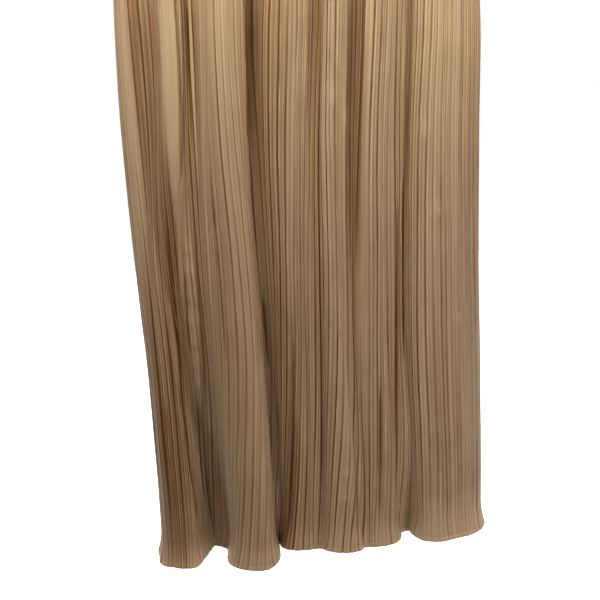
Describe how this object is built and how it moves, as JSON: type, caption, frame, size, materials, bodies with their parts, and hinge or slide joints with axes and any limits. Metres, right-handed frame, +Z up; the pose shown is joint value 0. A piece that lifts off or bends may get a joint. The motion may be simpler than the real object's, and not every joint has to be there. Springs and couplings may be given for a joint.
{
  "type": "pleated maxi skirt",
  "caption": "Long pleated satin skirt hanging open and hollow from an elasticated waistband, with deep soft folds and a narrow flared hem.",
  "frame": {"origin": "centre of the waist opening, level with the top edge of the waistband", "axes": "+Z up along the body, the front of the skirt faces -Y, +X is the wearer's left and the viewer's right"},
  "size_m": [0.4118, 0.2535, 0.97],
  "materials": {
    "pleated_satin": "permanently pleated champagne bronze satin with a soft sheen",
    "band_satin": "the same satin gathered over elastic in three stitched channels"
  },
  "bodies": {
    "root": {"front_panel": "pleated_satin", "back_panel": "pleated_satin", "waistband": "band_satin"}
  },
  "joints": []
}
